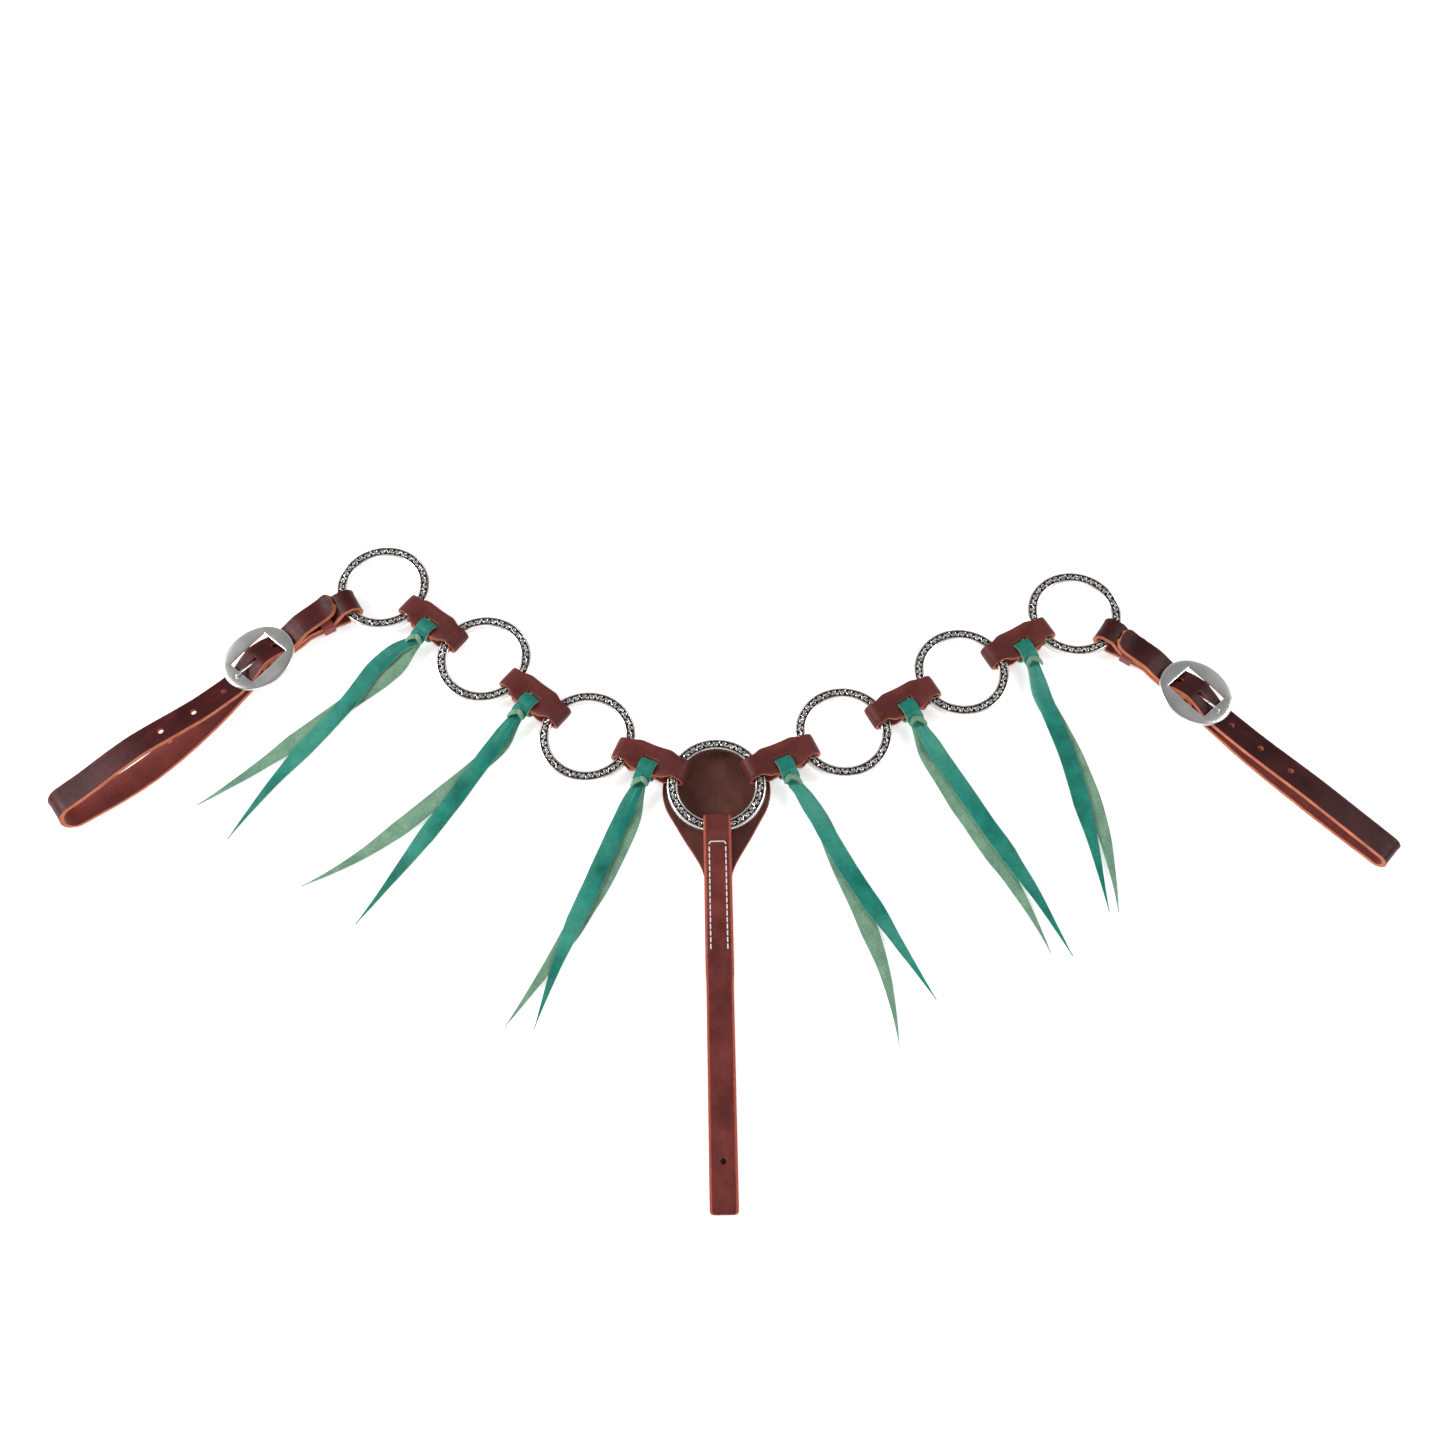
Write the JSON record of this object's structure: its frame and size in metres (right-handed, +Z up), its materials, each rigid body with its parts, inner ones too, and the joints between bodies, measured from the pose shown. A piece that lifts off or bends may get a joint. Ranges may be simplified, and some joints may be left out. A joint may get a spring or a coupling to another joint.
{
  "type": "western ring breast collar",
  "caption": "Western breast collar: engraved rings joined by folded leather links with knotted fringe, buckled tug straps at both ends and a centre strap to the cinch.",
  "frame": {"origin": "middle of the bounding box, on the surface that the part lies on", "axes": "+X along its length towards the right-hand tug strap, +Y from the centre strap towards the withers, +Z up, out of the grain side"},
  "size_m": [0.9422, 0.4838, 0.0254],
  "materials": {
    "engraved_silver": "engraved, blackened in the recesses",
    "link_leather": "smooth oiled grain, raw cut edges",
    "left_strap_leather": "smooth oiled grain, raw cut edges",
    "right_strap_leather": "smooth oiled grain, raw cut edges",
    "centre_strap_leather": "smooth oiled grain, bevelled red edges",
    "backing_leather": "smooth oiled grain, pressed ornament",
    "fringe_leather": "dyed grain side and pale suede flesh side",
    "polished_steel": "polished"
  },
  "bodies": {
    "centre_ring": {"centre_ring": "engraved_silver"},
    "centre_strap": {"centre_strap": "centre_strap_leather", "ring_backing": "backing_leather"},
    "left_link_1": {"left_link_1": "link_leather"},
    "left_ring_1": {"left_ring_1": "engraved_silver"},
    "left_fringe_1": {"left_fringe_1": "fringe_leather"},
    "left_link_2": {"left_link_2": "link_leather"},
    "left_ring_2": {"left_ring_2": "engraved_silver"},
    "left_fringe_2": {"left_fringe_2": "fringe_leather"},
    "left_link_3": {"left_link_3": "link_leather"},
    "left_ring_3": {"left_ring_3": "engraved_silver"},
    "left_fringe_3": {"left_fringe_3": "fringe_leather"},
    "left_tug": {"left_tug_strap": "left_strap_leather", "left_buckle": "polished_steel"},
    "left_keeper": {"left_keeper": "left_strap_leather"},
    "left_buckle_tongue": {"left_buckle_tongue": "polished_steel"},
    "right_link_1": {"right_link_1": "link_leather"},
    "right_ring_1": {"right_ring_1": "engraved_silver"},
    "right_fringe_1": {"right_fringe_1": "fringe_leather"},
    "right_link_2": {"right_link_2": "link_leather"},
    "right_ring_2": {"right_ring_2": "engraved_silver"},
    "right_fringe_2": {"right_fringe_2": "fringe_leather"},
    "right_link_3": {"right_link_3": "link_leather"},
    "right_ring_3": {"right_ring_3": "engraved_silver"},
    "right_fringe_3": {"right_fringe_3": "fringe_leather"},
    "right_tug": {"right_tug_strap": "right_strap_leather", "right_buckle": "polished_steel"},
    "right_keeper": {"right_keeper": "right_strap_leather"},
    "right_buckle_tongue": {"right_buckle_tongue": "polished_steel"}
  },
  "joints": [
    {"name": "centre_strap_swing", "type": "hinge", "parent": "centre_ring", "child": "centre_strap", "pos_m": [-0.00294, 0.01342, 0.01097], "axis": [-0.9998, -0.0192, 0], "range_deg": [0, 35]},
    {"name": "left_link_1_slide_round_ring", "type": "hinge", "parent": "centre_ring", "child": "left_link_1", "pos_m": [-0.00354, 0.04462, 0.01097], "axis": [0, 0, 1], "range_deg": [-10, 10]},
    {"name": "left_fringe_1_swing", "type": "hinge", "parent": "left_link_1", "child": "left_fringe_1", "pos_m": [-0.05274, 0.0574, 0.01007], "axis": [-0.9214, 0.3835, -0.0627], "range_deg": [-70, 75]},
    {"name": "left_ring_1_fold", "type": "hinge", "parent": "left_link_1", "child": "left_ring_1", "pos_m": [-0.06764, 0.0713, 0.00857], "axis": [-0.3843, -0.9232, 0], "range_deg": [-40, 40]},
    {"name": "left_link_2_slide_round_ring", "type": "hinge", "parent": "left_ring_1", "child": "left_link_2", "pos_m": [-0.09644, 0.08329, 0.00857], "axis": [0, 0, -1], "range_deg": [-10, 10]},
    {"name": "left_fringe_2_swing", "type": "hinge", "parent": "left_link_2", "child": "left_fringe_2", "pos_m": [-0.14027, 0.10908, 0.00872], "axis": [-0.7826, 0.6225, -0.0078], "range_deg": [-70, 75]},
    {"name": "left_ring_2_fold", "type": "hinge", "parent": "left_link_2", "child": "left_ring_2", "pos_m": [-0.15083, 0.12655, 0.00827], "axis": [0.6225, 0.7826, 0], "range_deg": [-40, 40]},
    {"name": "left_link_3_slide_round_ring", "type": "hinge", "parent": "left_ring_2", "child": "left_link_3", "pos_m": [-0.17525, 0.14597, 0.00827], "axis": [0, 0, 1], "range_deg": [-10, 10]},
    {"name": "left_fringe_3_swing", "type": "hinge", "parent": "left_link_3", "child": "left_fringe_3", "pos_m": [-0.21965, 0.17076, 0.00852], "axis": [0.7965, -0.6046, 0.0026], "range_deg": [-75, 70]},
    {"name": "left_ring_3_fold", "type": "hinge", "parent": "left_link_3", "child": "left_ring_3", "pos_m": [-0.23061, 0.18799, 0.00817], "axis": [-0.6046, -0.7965, 0], "range_deg": [-40, 40]},
    {"name": "left_tug_fold", "type": "hinge", "parent": "left_ring_3", "child": "left_tug", "pos_m": [-0.28229, 0.19093, 0.00817], "axis": [-0.5105, 0.8599, 0], "range_deg": [-35, 35]},
    {"name": "left_keeper_slide", "type": "slide", "parent": "left_tug", "child": "left_keeper", "axis": [-0.8599, -0.5105, 0], "range_m": [0, 0.008]},
    {"name": "left_buckle_tongue_lift", "type": "hinge", "parent": "left_tug", "child": "left_buckle_tongue", "pos_m": [-0.34047, 0.14548, 0.00837], "axis": [-0.7795, 0.6263, 0], "range_deg": [0, 8]},
    {"name": "right_link_1_slide_round_ring", "type": "hinge", "parent": "centre_ring", "child": "right_link_1", "pos_m": [-0.00354, 0.04462, 0.01097], "axis": [0, 0, -1], "range_deg": [-10, 10]},
    {"name": "right_fringe_1_swing", "type": "hinge", "parent": "right_link_1", "child": "right_fringe_1", "pos_m": [0.04515, 0.0592, 0.01007], "axis": [-0.9067, -0.417, 0.0627], "range_deg": [-70, 75]},
    {"name": "right_ring_1_fold", "type": "hinge", "parent": "right_link_1", "child": "right_ring_1", "pos_m": [0.05953, 0.07363, 0.00857], "axis": [-0.4179, 0.9085, 0], "range_deg": [-40, 40]},
    {"name": "right_link_2_slide_round_ring", "type": "hinge", "parent": "right_ring_1", "child": "right_link_2", "pos_m": [0.08788, 0.08667, 0.00857], "axis": [0, 0, 1], "range_deg": [-10, 10]},
    {"name": "right_fringe_2_swing", "type": "hinge", "parent": "right_link_2", "child": "right_fringe_2", "pos_m": [0.13542, 0.1047, 0.00872], "axis": [-0.8763, -0.4817, 0.0078], "range_deg": [-70, 75]},
    {"name": "right_ring_2_fold", "type": "hinge", "parent": "right_link_2", "child": "right_ring_2", "pos_m": [0.14878, 0.12015, 0.00827], "axis": [0.4818, -0.8763, 0], "range_deg": [-40, 40]},
    {"name": "right_link_3_slide_round_ring", "type": "hinge", "parent": "right_ring_2", "child": "right_link_3", "pos_m": [0.17612, 0.13518, 0.00827], "axis": [0, 0, -1], "range_deg": [-10, 10]},
    {"name": "right_fringe_3_swing", "type": "hinge", "parent": "right_link_3", "child": "right_fringe_3", "pos_m": [0.22357, 0.15346, 0.00852], "axis": [0.8738, 0.4863, -0.0026], "range_deg": [-75, 70]},
    {"name": "right_ring_3_fold", "type": "hinge", "parent": "right_link_3", "child": "right_ring_3", "pos_m": [0.23685, 0.16898, 0.00817], "axis": [-0.4863, 0.8738, 0], "range_deg": [-40, 40]},
    {"name": "right_tug_fold", "type": "hinge", "parent": "right_ring_3", "child": "right_tug", "pos_m": [0.28973, 0.16634, 0.00817], "axis": [-0.5707, -0.8211, 0], "range_deg": [-35, 35]},
    {"name": "right_keeper_slide", "type": "slide", "parent": "right_tug", "child": "right_keeper", "axis": [0.8211, -0.5707, 0], "range_m": [0, 0.008]},
    {"name": "right_buckle_tongue_lift", "type": "hinge", "parent": "right_tug", "child": "right_buckle_tongue", "pos_m": [0.34494, 0.11735, 0.00837], "axis": [-0.7561, -0.6545, 0], "range_deg": [0, 8]}
  ]
}
